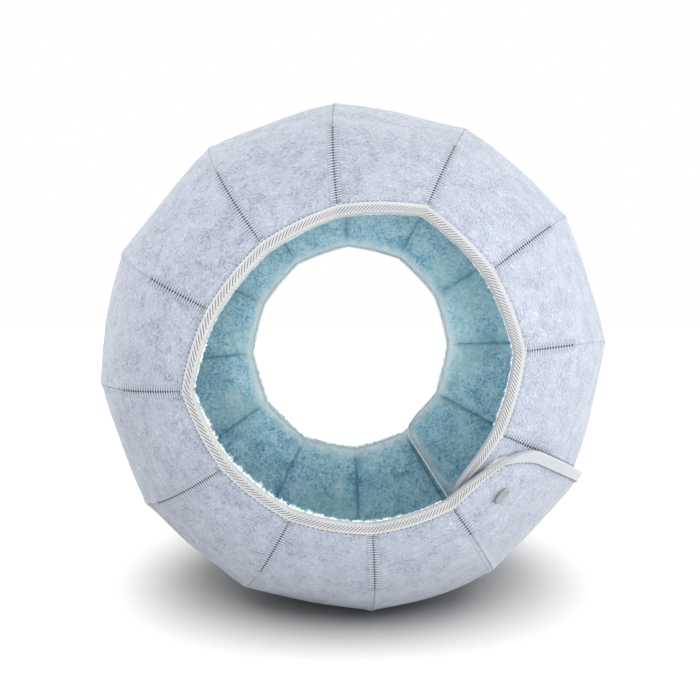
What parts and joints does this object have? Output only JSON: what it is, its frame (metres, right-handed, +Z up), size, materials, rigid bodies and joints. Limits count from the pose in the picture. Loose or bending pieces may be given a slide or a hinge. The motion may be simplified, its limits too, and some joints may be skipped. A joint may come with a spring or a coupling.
{
  "type": "felt cat cave",
  "caption": "Soft ball-shaped pet cave of gored felt panels lined with plush, open front and back, closed by a lapped flap with a snap.",
  "frame": {"origin": "middle of the small flat spot that the ball rests on, straight under the middle of the ball", "axes": "+Z up; -Y towards the front opening, along the ball's own axis; +X to the right as seen from the front, the side the flap closes on"},
  "size_m": [0.477, 0.3857, 0.4723],
  "materials": {
    "heather_felt": "matt wool-look felt, pale blue-grey with darker flecks",
    "teal_plush": "soft short plush, mottled teal",
    "twill_tape": "matt herringbone twill tape, light grey",
    "grey_snap": "satin grey plastic"
  },
  "bodies": {
    "root": {"felt_underlap": "heather_felt", "felt_panel_01": "heather_felt", "felt_panel_02": "heather_felt", "felt_panel_03": "heather_felt", "felt_panel_04": "heather_felt", "felt_panel_05": "heather_felt", "felt_panel_06": "heather_felt", "felt_panel_07": "heather_felt", "felt_panel_08": "heather_felt", "felt_panel_09": "heather_felt", "felt_panel_10": "heather_felt", "felt_panel_11": "heather_felt", "felt_flap": "heather_felt", "lining_underlap": "teal_plush", "lining_panel_01": "teal_plush", "lining_panel_02": "teal_plush", "lining_panel_03": "teal_plush", "lining_panel_04": "teal_plush", "lining_panel_05": "teal_plush", "lining_panel_06": "teal_plush", "lining_panel_07": "teal_plush", "lining_panel_08": "teal_plush", "lining_panel_09": "teal_plush", "lining_panel_10": "teal_plush", "lining_panel_11": "teal_plush", "lining_flap": "teal_plush", "binding_tape": "twill_tape", "snap_cap": "grey_snap"}
  },
  "joints": []
}
